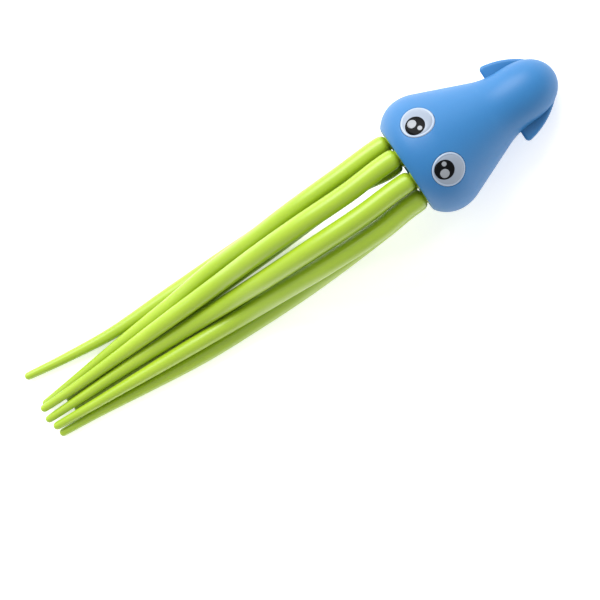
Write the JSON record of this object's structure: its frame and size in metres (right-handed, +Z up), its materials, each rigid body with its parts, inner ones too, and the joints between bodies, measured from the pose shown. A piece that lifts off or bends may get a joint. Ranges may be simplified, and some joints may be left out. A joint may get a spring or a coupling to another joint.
{
  "type": "squid dive toy",
  "caption": "Squid-shaped pool dive toy: a hollow weighted head with two fins and domed eyes trails long tapered rubber tentacles, each bending at its ball root.",
  "frame": {"origin": "centre of the toy's box, at the surface it lies on", "axes": "+X along the head from the tentacles to the nose, +Y to the toy's left, +Z up, the side with the eyes"},
  "size_m": [0.3158, 0.0602, 0.0587],
  "materials": {
    "shell": "smooth satin moulded vinyl, sky blue",
    "base": "dark blue moulded plate",
    "steel": "plain steel",
    "eye_white": "glossy bluish white with a paler rim",
    "pupil": "glossy black with printed pale highlights",
    "tentacle": "glossy soft lime green rubber"
  },
  "bodies": {
    "head": {"front_shell": "shell", "back_shell": "shell", "base_plate": "base", "clamp_plate": "base", "plate_screws": "steel", "nose_weight": "steel", "eye_white_left": "eye_white", "eye_white_right": "eye_white", "pupil_left": "pupil", "pupil_right": "pupil", "eye_clip_left": "steel", "eye_clip_right": "steel"},
    "tentacle_1": {"tentacle_1": "tentacle"},
    "tentacle_2": {"tentacle_2": "tentacle"},
    "tentacle_3": {"tentacle_3": "tentacle"},
    "tentacle_4": {"tentacle_4": "tentacle"},
    "tentacle_5": {"tentacle_5": "tentacle"},
    "tentacle_6": {"tentacle_6": "tentacle"},
    "tentacle_7": {"tentacle_7": "tentacle"},
    "tentacle_8": {"tentacle_8": "tentacle"}
  },
  "joints": [
    {"name": "bend_1", "type": "hinge", "parent": "head", "child": "tentacle_1", "pos_m": [0.08172, 0.01492, 0.03857], "axis": [-0.1973, 0.7071, -0.679], "range_deg": [0, 30], "stiffness_Nm_per_rad": 0.05},
    {"name": "bend_2", "type": "hinge", "parent": "head", "child": "tentacle_2", "pos_m": [0.08421, 0.00599, 0.04715], "axis": [-0.0484, 0.9848, -0.1667], "range_deg": [0, 30], "stiffness_Nm_per_rad": 0.05},
    {"name": "bend_3", "type": "hinge", "parent": "head", "child": "tentacle_3", "pos_m": [0.08421, -0.00664, 0.04715], "axis": [0.0484, 0.9848, 0.1667], "range_deg": [0, 30], "stiffness_Nm_per_rad": 0.05},
    {"name": "bend_4", "type": "hinge", "parent": "head", "child": "tentacle_4", "pos_m": [0.08172, -0.01557, 0.03857], "axis": [0.1973, 0.7071, 0.679], "range_deg": [0, 30], "stiffness_Nm_per_rad": 0.05},
    {"name": "bend_5", "type": "hinge", "parent": "head", "child": "tentacle_5", "pos_m": [0.07819, -0.01557, 0.02645], "axis": [0, 0, 1], "range_deg": [0, 30], "stiffness_Nm_per_rad": 0.05},
    {"name": "bend_6", "type": "hinge", "parent": "head", "child": "tentacle_6", "pos_m": [0.0757, -0.00664, 0.01787], "axis": [0, -1, 0], "range_deg": [0, 20], "stiffness_Nm_per_rad": 0.05},
    {"name": "bend_7", "type": "hinge", "parent": "head", "child": "tentacle_7", "pos_m": [0.0757, 0.00599, 0.01787], "axis": [0, -1, 0], "range_deg": [0, 20], "stiffness_Nm_per_rad": 0.05},
    {"name": "bend_8", "type": "hinge", "parent": "head", "child": "tentacle_8", "pos_m": [0.07819, 0.01492, 0.02645], "axis": [0, 0, -1], "range_deg": [0, 30], "stiffness_Nm_per_rad": 0.05}
  ]
}
